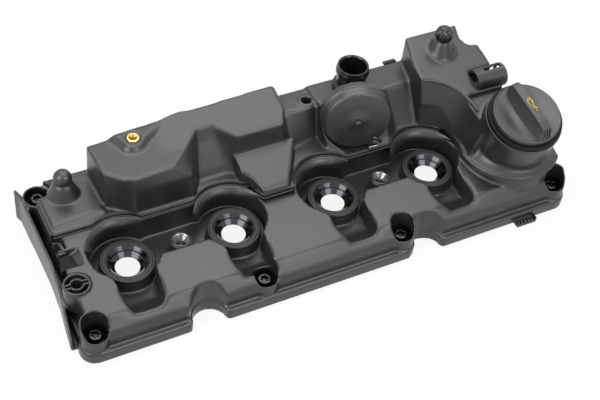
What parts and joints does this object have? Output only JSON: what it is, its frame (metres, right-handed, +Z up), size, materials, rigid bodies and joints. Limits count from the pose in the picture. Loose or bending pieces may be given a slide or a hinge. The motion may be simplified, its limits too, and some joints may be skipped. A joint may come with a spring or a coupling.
{
  "type": "engine valve cover",
  "caption": "Moulded engine valve cover with an oil separator housing, injector seals, a breather spigot and a quarter-turn oil filler cap.",
  "frame": {"origin": "middle of the cover's length and depth, at its base", "axes": "+X along the injector row towards the oil filler, +Y to the back where the separator housing stands, +Z up from the flange face"},
  "size_m": [0.433, 0.1672, 0.1182],
  "materials": {
    "moulding_grey": "lightly grained glass-filled nylon",
    "cap_plastic": "satin moulded nylon",
    "gloss_black": "gloss black nylon",
    "rubber_black": "matt black elastomer",
    "bolt_black": "black coated steel",
    "sleeve_steel": "plain steel",
    "funnel_metal": "bright drawn metal",
    "insert_brass": "turned brass"
  },
  "bodies": {
    "cover": {"cover_shell": "moulding_grey", "separator_housing": "moulding_grey", "socket_springs": "moulding_grey", "baffle_plate": "moulding_grey", "cover_gasket": "rubber_black", "cover_bolts": "bolt_black", "bolt_grommets": "rubber_black", "bolt_sleeves": "sleeve_steel", "cup_sleeves": "sleeve_steel", "regulator_cover": "cap_plastic", "breather_spigot": "gloss_black", "threaded_insert": "insert_brass", "right_ball": "gloss_black", "hose_clips": "gloss_black", "harness_loop": "moulding_grey", "seal_ring_1": "rubber_black", "seal_funnel_1": "funnel_metal", "seal_ring_2": "rubber_black", "seal_funnel_2": "funnel_metal", "seal_ring_3": "rubber_black", "seal_funnel_3": "funnel_metal", "seal_ring_4": "rubber_black", "seal_funnel_4": "funnel_metal"},
    "filler_cap": {"filler_cap": "cap_plastic", "filler_cap_seal": "rubber_black"}
  },
  "joints": [
    {"name": "filler_cap_turn", "type": "hinge", "parent": "cover", "child": "filler_cap", "pos_m": [0.17631, -0.04115, 0.08147], "axis": [-0.044, -0.2396, 0.9699], "range_deg": [0, 90]}
  ]
}
